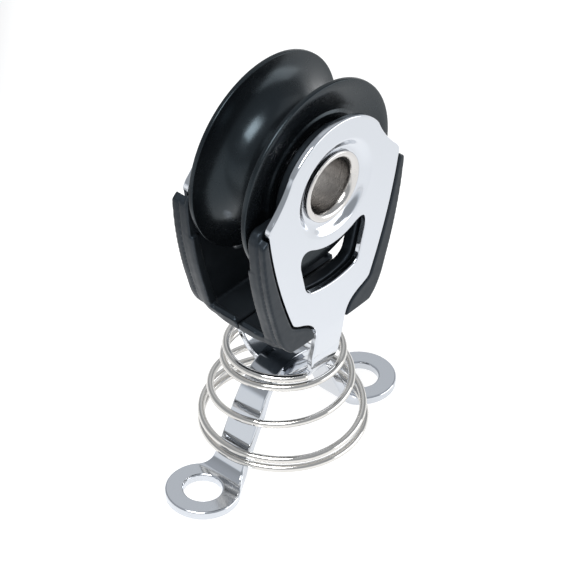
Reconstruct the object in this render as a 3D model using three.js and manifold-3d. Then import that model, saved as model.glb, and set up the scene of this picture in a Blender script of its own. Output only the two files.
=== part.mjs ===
// Single sheave stand-up block: a ball-bearing sheave between two moulded cheeks, held in a
// U-shaped steel strap that loops under a steel deck saddle, with a conical spring around the link.
//
// Frame: millimetres, +Z up. The origin lies on the deck, midway between the two feet.
// X runs along the saddle from foot to foot. Y is the direction of the axle.

import * as THREE from "three";
import { mergeVertices } from "three/addons/utils/BufferGeometryUtils.js";
import Module from "manifold-3d";

const wasm = await Module();
wasm.setup();

// ---- driving dimensions ------------------------------------------------------------------------

const CLEARANCE = 0.3;
const CUTTER_MARGIN = 1;

const AXLE_HEIGHT = 50.5;

const SHEAVE_RADIUS = 15;
const SHEAVE_HALF_WIDTH = 5.25;
const GROOVE_BOTTOM_RADIUS = 10.2;
const GROOVE_HALF_WIDTH = 4.5;
const SHEAVE_BORE_RADIUS = 8.6;
const SHEAVE_RECESS_DEPTH = 0.5;
const SHEAVE_RECESS_INNER = 10.3;
const SHEAVE_RECESS_OUTER = 11;
const SHEAVE_RECESS_SLOPE = 3;
const SHEAVE_HUB_STEP = 0.2;
const SHEAVE_EDGE_CHAMFER = 0.25;
const GROOVE_STEPS = 12;

const BALL_RADIUS = 1.2;
const BALL_PITCH_RADIUS = 7.3;
const BALLS_PER_ROW = 16;
const BALL_ROW_OFFSET = 2.4;
const BALL_RUNNING_GAP = 0.2;
const BALL_SEGMENTS = 8;
const BALL_RINGS = 6;

const RACE_BORE_RADIUS = 5.1;
const RACE_RADIUS = 6.25;
const RACE_REACH = 6.2;
const TRACK_HALF_WIDTH = 0.5;
const TRACK_SLOPE = 0.4;
const RETAINER_THICKNESS = 0.6;
const RETAINER_OFFSET = 4.2;

const TUBE_BORE_RADIUS = 4.2;
const TUBE_RADIUS = 4.8;
const TUBE_REACH = 8.2;
const TUBE_LIP_RADIUS = 5.45;
const TUBE_LIP_THICKNESS = 0.3;
const TUBE_LIP_CHAMFER = 0.15;
const TUBE_MOUTH_FLARE = 0.3;

const STRAP_THICKNESS = 1.1;
const STRAP_OUTER = 8.6;
const STRAP_INNER = STRAP_OUTER - STRAP_THICKNESS;
const FAR_SET_IN = 1.0;
const STRAP_HOLE_RADIUS = 5.1;
const DISH_DEPTH = 1.0;
const DISH_FLOOR_RADIUS = 6.2;
const DISH_RIM_RADIUS = 7.4;
const DISH_RING_WIDTH = 0.6;
const HEAD_RADIUS = 11;
const NECK_HALF_WIDTH = 2.95;
const LOOP_HALF_WIDTH = 2.4;
const LOOP_CENTRE_HEIGHT = 21.3;
const LOOP_OUTER_RADIUS = 7.9;
const LOOP_INNER_RADIUS = LOOP_OUTER_RADIUS - STRAP_THICKNESS;
const WINDOW_TOP_RADIUS = 9.5;
const WINDOW_MIDDLE_HEIGHT = 38.2;

const CHEEK_INNER = 5.6;
const CHEEK_FLOOR = STRAP_INNER - CLEARANCE;
const CHEEK_OUTER = STRAP_OUTER;
const CHEEK_HEAD_RADIUS = 9.3;
const RIM_CORNER = { start: [11.45, 31], control: [10.6, 26.9], end: [8.3, 26] };
const WEB_CORNER = { start: [10.15, 27], control: [9.9, 26], end: [8.9, 26] };
const CHEEK_BOTTOM = 25.8;
const WEB_TOP = 28.4;
const GUARD_TOP = 42.5;
const GUARD_INNER = 5.1;
const GUARD_THICKNESS = 1.4;
const SEAM_GAP = 0.15;
const CHEEK_WINDOW_SCALE = 0.93;

const SADDLE_THICKNESS = 1.4;
const FOOT_SPACING = 34.5;
const FOOT_RADIUS = 5.5;
const SCREW_HOLE_RADIUS = 2.8;
const ARCH_CENTRE_HEIGHT = 9.3;
const ARCH_OUTER_RADIUS = 7.8;
const ARCH_INNER_RADIUS = ARCH_OUTER_RADIUS - SADDLE_THICKNESS;
const ARCH_HALF_ANGLE = THREE.MathUtils.degToRad(64);
const ARCH_HALF_WIDTH = 2.4;
const LEG_HALF_WIDTH = 2.7;
const FOOT_BEND_RADIUS = 2.2;
const FOOT_BLEND_ANGLE = THREE.MathUtils.degToRad(132);

const WIRE_RADIUS = 0.55;
const SPRING_TOP_RADIUS = 8.5;
const SPRING_BASE_RADIUS = 12.1;
const SPRING_TURNS = 4.6;
const SPRING_START_ANGLE = THREE.MathUtils.degToRad(-117);
const SPRING_TOP_HEIGHT = 18.5;
const SPRING_BASE_HEIGHT = 3.6;
const CLOSE_TURNS_TOP = 1.1;
const CLOSE_TURNS_BASE = 1.6;
const CLOSE_PITCH = 1.65;

const SPRING_STEPS_PER_TURN = 20;
const WIRE_CURVE_STEPS = 4;

const ROUND_SEGMENTS = 44;
const HOLE_SEGMENTS = 32;
const CURVE_STEPS = 8;
const ARCH_STEPS = 10;
const FOOT_BEND_STEPS = 6;

// ---- materials ---------------------------------------------------------------------------------

const polishedSteel = new THREE.MeshStandardMaterial({ color: 0xcfd2d4, roughness: 0.18, metalness: 1 });
const springSteel = new THREE.MeshStandardMaterial({ color: 0xbdbbb4, roughness: 0.22, metalness: 1 });
const boreSteel = new THREE.MeshStandardMaterial({ color: 0xb5aea6, roughness: 0.3, metalness: 1 });
const blackMoulding = new THREE.MeshStandardMaterial({ color: 0x1c1e21, roughness: 0.5, metalness: 0 });
const sheaveAcetal = new THREE.MeshStandardMaterial({ color: 0x151719, roughness: 0.35, metalness: 0 });
const raceSteel = new THREE.MeshStandardMaterial({ color: 0xc4c6c8, roughness: 0.25, metalness: 1 });
const ballAcetal = new THREE.MeshStandardMaterial({ color: 0xe9e8e2, roughness: 0.35, metalness: 0 });

// ---- solids ------------------------------------------------------------------------------------

function toSolid(geometry) {
  const bare = geometry.clone();
  bare.deleteAttribute("normal");
  bare.deleteAttribute("uv");
  const welded = mergeVertices(bare, 1e-5);
  return new wasm.Manifold(new wasm.Mesh({
    numProp: 3,
    vertProperties: new Float32Array(welded.attributes.position.array),
    triVerts: new Uint32Array(welded.index.array),
  }));
}

function toMesh(name, solid, material) {
  const data = solid.getMesh();
  const geometry = new THREE.BufferGeometry();
  geometry.setAttribute("position", new THREE.BufferAttribute(new Float32Array(data.vertProperties), 3));
  geometry.setIndex(new THREE.BufferAttribute(new Uint32Array(data.triVerts), 1));
  return namedMesh(name, geometry, material);
}

function namedMesh(name, geometry, material) {
  const mesh = new THREE.Mesh(geometry, material);
  mesh.name = name;
  return mesh;
}

// A flat outline in the XZ plane, given depth along Y from yStart to yEnd.
function extrudeAlongY(shape, yStart, yEnd) {
  const geometry = new THREE.ExtrudeGeometry(shape, {
    depth: yEnd - yStart,
    bevelEnabled: false,
    curveSegments: CURVE_STEPS,
  });
  geometry.rotateX(Math.PI / 2);
  geometry.translate(0, yEnd, 0);
  return toSolid(geometry);
}

// A flat outline in the YZ plane, given depth along X, centred on X = 0.
function extrudeAlongX(shape, width) {
  const geometry = new THREE.ExtrudeGeometry(shape, {
    depth: width,
    bevelEnabled: false,
    curveSegments: CURVE_STEPS,
  });
  geometry.rotateX(Math.PI / 2);
  geometry.rotateZ(Math.PI / 2);
  geometry.translate(-width / 2, 0, 0);
  return toSolid(geometry);
}

// A flat outline in the XY plane, given depth along Z.
function extrudeAlongZ(shape, height) {
  return toSolid(new THREE.ExtrudeGeometry(shape, {
    depth: height,
    bevelEnabled: false,
    curveSegments: CURVE_STEPS,
  }));
}

// A ring turned about the axle. The profile lists [radius, y] points in order round the section.
function turnAboutAxle(profile) {
  const closed = [...profile, profile[0]];
  const points = closed.map(([radius, y]) => new THREE.Vector2(radius, y));
  const geometry = new THREE.LatheGeometry(points, ROUND_SEGMENTS);
  geometry.translate(0, 0, AXLE_HEIGHT);
  return geometry;
}

function discAlongY(radius, yStart, yEnd) {
  const shape = new THREE.Shape();
  shape.absarc(0, AXLE_HEIGHT, radius, 0, 2 * Math.PI);
  return extrudeAlongY(shape, yStart, yEnd);
}

// Mirrors a half outline, drawn from the top of the centre line to its foot on the +X side.
function mirroredShape(halfPath) {
  const right = halfPath.getPoints(CURVE_STEPS);
  const left = right.map((point) => new THREE.Vector2(-point.x, point.y)).reverse();
  return new THREE.Shape([...right, ...left].filter(isNewPoint));
}

function isNewPoint(point, index, points) {
  const previous = points[(index + points.length - 1) % points.length];
  return point.distanceTo(previous) > 1e-4;
}

function scaledAbout(shape, factor, centreHeight) {
  const points = shape.getPoints(CURVE_STEPS).map(
    (point) => new THREE.Vector2(point.x * factor, centreHeight + (point.y - centreHeight) * factor),
  );
  return new THREE.Shape(points);
}

// ---- outlines ----------------------------------------------------------------------------------

// The strap's side plate: a round head about the axle, square shoulders, tapering sides, and an
// S-curve into the neck.
function strapOutline(grow) {
  const half = new THREE.Path();
  half.absarc(0, AXLE_HEIGHT, HEAD_RADIUS + grow, Math.PI / 2, THREE.MathUtils.degToRad(36), true);
  half.quadraticCurveTo(10.2 + grow, 53.9 + grow, 12.9 + grow, 51.2 + grow);
  half.quadraticCurveTo(13.9 + grow, 50.2 + grow, 13.5 + grow, 49.2);
  half.quadraticCurveTo(12.0 + grow, 39.9, 8.15 + grow, 30.8);
  half.bezierCurveTo(7.3 + grow, 29.3 - grow, 3.0 + grow, 29.8 - grow, NECK_HALF_WIDTH + grow, 25.0);
  half.lineTo(NECK_HALF_WIDTH + grow, 20.6);
  half.quadraticCurveTo(NECK_HALF_WIDTH + grow, 19.4, LOOP_HALF_WIDTH + grow, 18.4);
  half.lineTo(LOOP_HALF_WIDTH + grow, 10);
  return mirroredShape(half);
}

// The opening below the axle: its top follows a circle about the axle.
function windowOutline() {
  const half = new THREE.Path();
  half.absarc(0, AXLE_HEIGHT, WINDOW_TOP_RADIUS, -Math.PI / 2, THREE.MathUtils.degToRad(-62), false);
  half.quadraticCurveTo(7.0, 43.3, 6.75, 40.3);
  half.lineTo(5.75, 36.3);
  half.quadraticCurveTo(5.4, 34.9, 4.2, 34.6);
  half.quadraticCurveTo(2.0, 34.05, 0, 34.05);
  return mirroredShape(half);
}

// The moulded cheek, seen along the axle, without its round head. The curve of its lower corners
// is given.
function cheekOutline(inset, corner) {
  const half = new THREE.Path();
  half.moveTo(0, 49.8 - inset);
  half.lineTo(13.4 - inset, 49.8 - inset);
  half.quadraticCurveTo(14.75 - inset, 49.6 - inset, 14.75 - inset, 47.8 - inset);
  half.quadraticCurveTo(14.2 - inset, 39.8, 11.6 - inset, 32);
  half.lineTo(corner.start[0] - inset, corner.start[1]);
  half.quadraticCurveTo(
    corner.control[0] - inset, corner.control[1] + inset,
    corner.end[0] - inset, corner.end[1] + inset,
  );
  half.lineTo(3.4, CHEEK_BOTTOM + inset);
  half.lineTo(0, CHEEK_BOTTOM + inset);
  return mirroredShape(half);
}

// ---- strap -------------------------------------------------------------------------------------

// Side view of the whole strap in the YZ plane: two legs joined by a round loop. The far leg is
// set in towards the sheave.
function strapSideProfile() {
  const shape = new THREE.Shape();
  const top = AXLE_HEIGHT + HEAD_RADIUS + CUTTER_MARGIN;
  const leanTop = 26.5;
  const farOuter = STRAP_OUTER - FAR_SET_IN;
  const farInner = STRAP_INNER - FAR_SET_IN;
  shape.moveTo(-STRAP_OUTER, top);
  shape.lineTo(-STRAP_OUTER, leanTop);
  shape.quadraticCurveTo(-STRAP_OUTER, leanTop - 2, -LOOP_OUTER_RADIUS, LOOP_CENTRE_HEIGHT);
  shape.absarc(0, LOOP_CENTRE_HEIGHT, LOOP_OUTER_RADIUS, Math.PI, 2 * Math.PI, false);
  shape.quadraticCurveTo(farOuter, leanTop - 2, farOuter, leanTop);
  shape.lineTo(farOuter, top);
  shape.lineTo(farInner, top);
  shape.lineTo(farInner, leanTop);
  shape.quadraticCurveTo(farInner, leanTop - 2, LOOP_INNER_RADIUS, LOOP_CENTRE_HEIGHT);
  shape.absarc(0, LOOP_CENTRE_HEIGHT, LOOP_INNER_RADIUS, 0, Math.PI, true);
  shape.quadraticCurveTo(-STRAP_INNER, leanTop - 2, -STRAP_INNER, leanTop);
  shape.lineTo(-STRAP_INNER, top);
  return shape;
}

// The pressed dish round the axle hole of the leg on the side given by sign.
function strapDish(sign, legOuter) {
  const legInner = legOuter - STRAP_THICKNESS;
  const floor = legOuter - DISH_DEPTH;
  const profile = [
    [STRAP_HOLE_RADIUS, floor],
    [DISH_FLOOR_RADIUS, floor],
    [DISH_RIM_RADIUS, legOuter],
    [DISH_RIM_RADIUS + DISH_RING_WIDTH, legOuter],
    [DISH_RIM_RADIUS + DISH_RING_WIDTH, legInner],
    [DISH_RIM_RADIUS, legInner],
    [DISH_FLOOR_RADIUS, floor - STRAP_THICKNESS],
    [STRAP_HOLE_RADIUS, floor - STRAP_THICKNESS],
  ];
  return toSolid(turnAboutAxle(orient(profile.map(([radius, y]) => [radius, sign * y]))));
}

// A turned profile has to run counter-clockwise for its faces to point out.
function orient(profile) {
  let doubledArea = 0;
  profile.forEach(([radius, y], index) => {
    const [nextRadius, nextY] = profile[(index + 1) % profile.length];
    doubledArea += radius * nextY - nextRadius * y;
  });
  return doubledArea > 0 ? profile : [...profile].reverse();
}

function makeStrap() {
  const reach = STRAP_OUTER + CUTTER_MARGIN;
  const face = extrudeAlongY(strapOutline(0), -reach, reach);
  const opening = extrudeAlongY(windowOutline(), -reach, reach);
  const hub = discAlongY(DISH_RIM_RADIUS + DISH_RING_WIDTH / 2, -reach, reach);
  return extrudeAlongX(strapSideProfile(), 4 * HEAD_RADIUS)
    .intersect(face)
    .subtract(opening)
    .subtract(hub)
    .add(strapDish(-1, STRAP_OUTER))
    .add(strapDish(1, STRAP_OUTER - FAR_SET_IN));
}

// ---- cheeks ------------------------------------------------------------------------------------

// A cheek drawn on the -Y side, with its strap pocket as deep as the given floor.
function makeCheek(floor) {
  const outline = cheekOutline(0, RIM_CORNER);
  const webOutline = cheekOutline(0, WEB_CORNER);
  const wholeHeight = extrudeAlongY(outline, -floor, -CHEEK_INNER)
    .add(discAlongY(CHEEK_HEAD_RADIUS, -floor, -CHEEK_INNER));
  const strapPocket = extrudeAlongY(strapOutline(CLEARANCE), -CHEEK_OUTER - CUTTER_MARGIN, -floor);
  const rim = extrudeAlongY(outline, -CHEEK_OUTER, -floor)
    .subtract(strapPocket);
  const guardReach = CUTTER_MARGIN - GUARD_INNER;
  const guard = extrudeAlongY(webOutline, -CHEEK_INNER, -GUARD_INNER)
    .subtract(extrudeAlongY(cheekOutline(GUARD_THICKNESS, WEB_CORNER), -CHEEK_INNER, guardReach))
    .subtract(discAlongY(SHEAVE_RADIUS + CLEARANCE, -CHEEK_INNER, guardReach))
    .trimByPlane([0, 0, -1], -GUARD_TOP);
  const web = extrudeAlongY(webOutline, -CHEEK_INNER, -SEAM_GAP)
    .trimByPlane([0, 0, -1], -WEB_TOP);
  const windowShape = scaledAbout(windowOutline(), CHEEK_WINDOW_SCALE, WINDOW_MIDDLE_HEIGHT);
  const openingEnd = CUTTER_MARGIN - CHEEK_INNER;
  const opening = extrudeAlongY(windowShape, -CHEEK_OUTER, openingEnd);
  const hubRadius = DISH_RIM_RADIUS + DISH_RING_WIDTH + CLEARANCE;
  const hub = discAlongY(hubRadius, -CHEEK_OUTER, openingEnd);
  return wholeHeight
    .add(rim)
    .add(guard)
    .add(web)
    .subtract(opening)
    .subtract(hub);
}

// ---- sheave and bearing ------------------------------------------------------------------------

function makeSheave() {
  const trackRadius = BALL_PITCH_RADIUS + BALL_RADIUS + BALL_RUNNING_GAP;
  const trackEdge = TRACK_HALF_WIDTH + TRACK_SLOPE;
  const recess = SHEAVE_HALF_WIDTH - SHEAVE_RECESS_DEPTH;
  const hubFace = SHEAVE_HALF_WIDTH - SHEAVE_HUB_STEP;
  const side = [
    [SHEAVE_BORE_RADIUS, hubFace],
    [SHEAVE_RECESS_INNER - SHEAVE_HUB_STEP, hubFace],
    [SHEAVE_RECESS_INNER, recess],
    [SHEAVE_RECESS_OUTER, recess],
    [SHEAVE_RECESS_OUTER + SHEAVE_RECESS_SLOPE, SHEAVE_HALF_WIDTH],
    [SHEAVE_RADIUS - SHEAVE_EDGE_CHAMFER, SHEAVE_HALF_WIDTH],
    [SHEAVE_RADIUS, SHEAVE_HALF_WIDTH - SHEAVE_EDGE_CHAMFER],
  ];
  const groove = [];
  for (let step = 0; step <= GROOVE_STEPS; step += 1) {
    const angle = (Math.PI * step) / GROOVE_STEPS;
    const depth = (SHEAVE_RADIUS - GROOVE_BOTTOM_RADIUS) * Math.sin(angle);
    groove.push([SHEAVE_RADIUS - depth, GROOVE_HALF_WIDTH * Math.cos(angle)]);
  }
  const bore = [];
  for (const row of [-1, 1]) {
    bore.push([SHEAVE_BORE_RADIUS, row * BALL_ROW_OFFSET - trackEdge]);
    bore.push([trackRadius, row * BALL_ROW_OFFSET - TRACK_HALF_WIDTH]);
    bore.push([trackRadius, row * BALL_ROW_OFFSET + TRACK_HALF_WIDTH]);
    bore.push([SHEAVE_BORE_RADIUS, row * BALL_ROW_OFFSET + trackEdge]);
  }
  const otherSide = side.map(([radius, y]) => [radius, -y]).reverse();
  return turnAboutAxle(orient([...side, ...groove, ...otherSide, ...bore]));
}

function makeRace() {
  const track = BALL_PITCH_RADIUS - BALL_RADIUS - BALL_RUNNING_GAP;
  const trackEdge = TRACK_HALF_WIDTH + TRACK_SLOPE;
  const profile = [
    [RACE_BORE_RADIUS, -RACE_REACH],
    [RACE_RADIUS, -RACE_REACH],
  ];
  for (const row of [-1, 1]) {
    profile.push([RACE_RADIUS, row * BALL_ROW_OFFSET - trackEdge]);
    profile.push([track, row * BALL_ROW_OFFSET - TRACK_HALF_WIDTH]);
    profile.push([track, row * BALL_ROW_OFFSET + TRACK_HALF_WIDTH]);
    profile.push([RACE_RADIUS, row * BALL_ROW_OFFSET + trackEdge]);
  }
  profile.push([RACE_RADIUS, RACE_REACH - FAR_SET_IN]);
  profile.push([RACE_BORE_RADIUS, RACE_REACH - FAR_SET_IN]);
  return turnAboutAxle(orient(profile));
}

function makeRetainer(sign) {
  const inner = RACE_RADIUS + CLEARANCE;
  const outer = SHEAVE_BORE_RADIUS - CLEARANCE;
  return turnAboutAxle(orient([
    [inner, sign * RETAINER_OFFSET],
    [outer, sign * RETAINER_OFFSET],
    [outer, sign * (RETAINER_OFFSET + RETAINER_THICKNESS)],
    [inner, sign * (RETAINER_OFFSET + RETAINER_THICKNESS)],
  ]));
}

function makeTube() {
  const farReach = TUBE_REACH - FAR_SET_IN;
  const nearLip = TUBE_REACH - TUBE_LIP_THICKNESS;
  const farLip = farReach - TUBE_LIP_THICKNESS;
  return turnAboutAxle(orient([
    [TUBE_BORE_RADIUS, -nearLip],
    [TUBE_BORE_RADIUS + TUBE_MOUTH_FLARE, -TUBE_REACH],
    [TUBE_LIP_RADIUS - TUBE_LIP_CHAMFER, -TUBE_REACH],
    [TUBE_LIP_RADIUS, -nearLip],
    [TUBE_RADIUS, -nearLip],
    [TUBE_RADIUS, farLip],
    [TUBE_LIP_RADIUS, farLip],
    [TUBE_LIP_RADIUS - TUBE_LIP_CHAMFER, farReach],
    [TUBE_BORE_RADIUS + TUBE_MOUTH_FLARE, farReach],
    [TUBE_BORE_RADIUS, farLip],
  ]));
}

function addBalls(parent) {
  for (const [rowName, side] of [["near", -1], ["far", 1]]) {
    for (let index = 0; index < BALLS_PER_ROW; index += 1) {
      const stagger = side > 0 ? 0.5 : 0;
      const angle = (2 * Math.PI * (index + stagger)) / BALLS_PER_ROW;
      const number = String(index + 1).padStart(2, "0");
      const geometry = new THREE.SphereGeometry(BALL_RADIUS, BALL_SEGMENTS, BALL_RINGS);
      const ball = namedMesh(`ball_${rowName}_${number}`, geometry, ballAcetal);
      ball.position.set(
        BALL_PITCH_RADIUS * Math.cos(angle),
        side * BALL_ROW_OFFSET,
        AXLE_HEIGHT + BALL_PITCH_RADIUS * Math.sin(angle),
      );
      parent.add(ball);
    }
  }
}

// ---- deck saddle -------------------------------------------------------------------------------

// The middle line of the pressed strip on the +X side, from the top of the arch to the toe.
function saddleHalfLine() {
  const middle = (ARCH_OUTER_RADIUS + ARCH_INNER_RADIUS) / 2;
  const footX = FOOT_SPACING / 2 + FOOT_RADIUS + CUTTER_MARGIN;
  const footZ = SADDLE_THICKNESS / 2;
  const points = [];
  for (let step = 0; step <= ARCH_STEPS; step += 1) {
    const angle = (ARCH_HALF_ANGLE * step) / ARCH_STEPS;
    points.push(new THREE.Vector2(
      middle * Math.sin(angle),
      ARCH_CENTRE_HEIGHT + middle * Math.cos(angle),
    ));
  }
  const legTop = points[points.length - 1];
  const bendRadius = FOOT_BEND_RADIUS + SADDLE_THICKNESS / 2;
  const bendCentreZ = footZ + bendRadius;
  const bendStartZ = bendCentreZ - bendRadius * Math.cos(ARCH_HALF_ANGLE);
  const legRun = (legTop.y - bendStartZ) / Math.tan(ARCH_HALF_ANGLE);
  const bendCentreX = legTop.x + legRun + bendRadius * Math.sin(ARCH_HALF_ANGLE);
  for (let step = 0; step <= FOOT_BEND_STEPS; step += 1) {
    const angle = ARCH_HALF_ANGLE * (1 - step / FOOT_BEND_STEPS);
    points.push(new THREE.Vector2(
      bendCentreX - bendRadius * Math.sin(angle),
      bendCentreZ - bendRadius * Math.cos(angle),
    ));
  }
  points.push(new THREE.Vector2(footX, footZ));
  return points;
}

// Gives a middle line its thickness, half to each side.
function thickened(line, thickness) {
  const upper = [];
  const lower = [];
  line.forEach((point, index) => {
    const before = line[Math.max(index - 1, 0)];
    const after = line[Math.min(index + 1, line.length - 1)];
    const along = after.clone().sub(before).normalize();
    const offset = new THREE.Vector2(-along.y, along.x).multiplyScalar(thickness / 2);
    upper.push(point.clone().add(offset));
    lower.push(point.clone().sub(offset));
  });
  return new THREE.Shape([...upper, ...lower.reverse()]);
}

// Plan of the saddle: a strip, waisted at the arch, that widens into two round feet.
function saddlePlan() {
  const footX = FOOT_SPACING / 2;
  const half = new THREE.Path();
  half.moveTo(0, ARCH_HALF_WIDTH);
  half.lineTo(4, ARCH_HALF_WIDTH);
  half.quadraticCurveTo(6, ARCH_HALF_WIDTH, 7.5, LEG_HALF_WIDTH);
  half.lineTo(10.4, LEG_HALF_WIDTH);
  half.quadraticCurveTo(11.9, LEG_HALF_WIDTH + 0.2, footX - 3.7, 4.07);
  half.absarc(footX, 0, FOOT_RADIUS, FOOT_BLEND_ANGLE, 0, true);
  const quarter = half.getPoints(CURVE_STEPS);
  const right = [...quarter, ...quarter.map((p) => new THREE.Vector2(p.x, -p.y)).reverse()];
  const left = right.map((p) => new THREE.Vector2(-p.x, p.y)).reverse();
  return new THREE.Shape([...right, ...left].filter(isNewPoint));
}

function makeSaddle() {
  const right = saddleHalfLine();
  const left = right.slice(1).map((point) => new THREE.Vector2(-point.x, point.y)).reverse();
  const halfDepth = FOOT_RADIUS + CUTTER_MARGIN;
  const strip = extrudeAlongY(thickened([...left, ...right], SADDLE_THICKNESS), -halfDepth, halfDepth);
  const archTop = ARCH_CENTRE_HEIGHT + ARCH_OUTER_RADIUS;
  let saddle = strip.intersect(extrudeAlongZ(saddlePlan(), archTop + CUTTER_MARGIN));
  const drillLength = 4 * SADDLE_THICKNESS;
  for (const side of [-1, 1]) {
    const hole = new THREE.CylinderGeometry(
      SCREW_HOLE_RADIUS, SCREW_HOLE_RADIUS, drillLength, HOLE_SEGMENTS,
    );
    hole.rotateX(Math.PI / 2);
    hole.translate((side * FOOT_SPACING) / 2, 0, 0);
    saddle = saddle.subtract(toSolid(hole));
  }
  return saddle;
}

// ---- spring ------------------------------------------------------------------------------------

// Height of the wire after a number of turns down from its top end: close turns at both ends.
function springHeight(turn) {
  const openTurns = SPRING_TURNS - CLOSE_TURNS_TOP - CLOSE_TURNS_BASE;
  const closeDrop = CLOSE_PITCH * (CLOSE_TURNS_TOP + CLOSE_TURNS_BASE);
  const openPitch = (SPRING_TOP_HEIGHT - SPRING_BASE_HEIGHT - closeDrop) / openTurns;
  const open = THREE.MathUtils.clamp(turn - CLOSE_TURNS_TOP, 0, openTurns);
  return SPRING_TOP_HEIGHT - CLOSE_PITCH * (turn - open) - openPitch * open;
}

function springRadius(turn) {
  const openTurns = SPRING_TURNS - CLOSE_TURNS_TOP - CLOSE_TURNS_BASE;
  const share = THREE.MathUtils.clamp((turn - CLOSE_TURNS_TOP) / openTurns, 0, 1);
  return THREE.MathUtils.lerp(SPRING_TOP_RADIUS, SPRING_BASE_RADIUS, share);
}

function makeSpring() {
  const points = [];
  const steps = Math.round(SPRING_TURNS * SPRING_STEPS_PER_TURN);
  for (let step = 0; step <= steps; step += 1) {
    const turn = step / SPRING_STEPS_PER_TURN;
    const angle = SPRING_START_ANGLE - 2 * Math.PI * turn;
    const radius = springRadius(turn);
    points.push(new THREE.Vector3(radius * Math.cos(angle), radius * Math.sin(angle), springHeight(turn)));
  }
  const section = new THREE.Shape();
  section.absarc(0, 0, WIRE_RADIUS, 0, 2 * Math.PI);
  return new THREE.ExtrudeGeometry(section, {
    steps,
    curveSegments: WIRE_CURVE_STEPS,
    bevelEnabled: false,
    extrudePath: new THREE.CatmullRomCurve3(points),
  });
}

// ---- assembly ----------------------------------------------------------------------------------

const object = new THREE.Group();

const deckFitting = new THREE.Group();
deckFitting.add(toMesh("deck_saddle", makeSaddle(), polishedSteel));
deckFitting.add(namedMesh("standup_spring", makeSpring(), springSteel));
object.add(deckFitting);

const blockHead = new THREE.Group();
blockHead.add(toMesh("side_strap", makeStrap(), polishedSteel));
blockHead.add(toMesh("near_cheek", makeCheek(CHEEK_FLOOR), blackMoulding));
const farCheek = toMesh("far_cheek", makeCheek(CHEEK_FLOOR - FAR_SET_IN), blackMoulding);
farCheek.rotation.z = Math.PI;
blockHead.add(farCheek);
blockHead.add(namedMesh("axle_tube", makeTube(), boreSteel));
blockHead.add(namedMesh("inner_race", makeRace(), raceSteel));
blockHead.add(namedMesh("near_ball_retainer", makeRetainer(-1), blackMoulding));
blockHead.add(namedMesh("far_ball_retainer", makeRetainer(1), blackMoulding));
object.add(blockHead);

const turning = new THREE.Group();
turning.add(namedMesh("sheave", makeSheave(), sheaveAcetal));
addBalls(turning);
object.add(turning);

export default object;
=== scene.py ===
import math

import bmesh
import bpy
import numpy as np
from mathutils import Matrix, Vector
from mathutils.geometry import delaunay_2d_cdt


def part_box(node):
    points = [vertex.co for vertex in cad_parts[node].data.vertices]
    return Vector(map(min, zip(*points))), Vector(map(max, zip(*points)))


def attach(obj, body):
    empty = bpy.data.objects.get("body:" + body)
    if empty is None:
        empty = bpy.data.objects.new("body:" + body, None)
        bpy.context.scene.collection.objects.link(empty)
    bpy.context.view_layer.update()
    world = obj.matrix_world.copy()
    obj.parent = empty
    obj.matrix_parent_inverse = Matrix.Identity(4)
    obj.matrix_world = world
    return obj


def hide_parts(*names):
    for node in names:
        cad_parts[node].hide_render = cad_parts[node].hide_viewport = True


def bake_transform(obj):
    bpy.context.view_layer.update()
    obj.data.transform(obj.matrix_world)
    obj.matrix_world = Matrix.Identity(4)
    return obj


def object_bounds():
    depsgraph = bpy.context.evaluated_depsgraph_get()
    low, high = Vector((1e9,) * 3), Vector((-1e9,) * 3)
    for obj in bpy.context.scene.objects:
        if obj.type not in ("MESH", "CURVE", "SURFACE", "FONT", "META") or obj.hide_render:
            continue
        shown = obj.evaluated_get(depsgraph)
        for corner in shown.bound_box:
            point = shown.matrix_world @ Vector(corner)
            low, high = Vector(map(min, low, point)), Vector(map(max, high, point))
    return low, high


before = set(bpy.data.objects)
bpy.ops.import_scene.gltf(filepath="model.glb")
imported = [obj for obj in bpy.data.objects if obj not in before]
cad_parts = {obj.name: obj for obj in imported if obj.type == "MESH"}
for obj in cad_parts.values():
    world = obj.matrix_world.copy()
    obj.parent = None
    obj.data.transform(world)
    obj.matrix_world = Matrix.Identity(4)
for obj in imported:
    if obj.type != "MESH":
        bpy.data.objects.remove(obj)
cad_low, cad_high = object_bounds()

# Single sheave stand-up block. All dimensions are millimetres in the CAD frame: +Z up from the
# deck, X from foot to foot, Y along the axle with the near cheek on -Y.

MM = 0.001

AXLE_HEIGHT = 50.5
TUBE_REACH = 8.2

RACE_REACH = 6.2
RACE_BORE_RADIUS = 5.1
RACE_RADIUS = 6.25
RACE_TRACK_RADIUS = 5.9
RETAINER_RADII = (6.55, 8.3)
RETAINER_SPAN = (4.2, 4.8)
BALL_RADIUS = 1.2
BALLS_IN_ROW = 16
TRACK_ROWS = (-2.4, 2.4)
TRACK_HALF_MOUTH = 0.9
TRACK_HALF_FLOOR = 0.5

SHEAVE_RADIUS = 15.0
SHEAVE_HALF_WIDTH = 5.25
GROOVE_DEPTH = 4.8
GROOVE_HALF_WIDTH = 4.5
SHEAVE_BORE_RADIUS = 8.6
SHEAVE_TRACK_RADIUS = 8.8

STRAP_THICKNESS = 1.1
STRAP_OUTER = 8.6
STRAP_EDGE_RADIUS = 0.28
STRAP_HEAD_RADIUS = 11.0
FAR_SET_IN = 1.0
STRAP_HOLE_RADIUS = 5.1
STRAP_LEAN_TOP = 26.5
LOOP_CENTRE_HEIGHT = 21.3
LOOP_RADIUS = 7.35
NECK_HALF_WIDTH = 2.95
LOOP_HALF_WIDTH = 2.4
DISH_DEPTH = 1.0
DISH_FLOOR_RADIUS = 5.9
DISH_RIM_RADIUS = 7.8

SADDLE_THICKNESS = 1.4
SADDLE_EDGE_RADIUS = 0.32
FOOT_X = 17.25
FOOT_RADIUS = 5.5
SCREW_HOLE_RADIUS = 2.8
ARCH_CENTRE_HEIGHT = 9.3
ARCH_RADIUS = 7.1
ARCH_HALF_ANGLE = math.radians(64)
FOOT_BEND_RADIUS = 2.9

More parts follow.
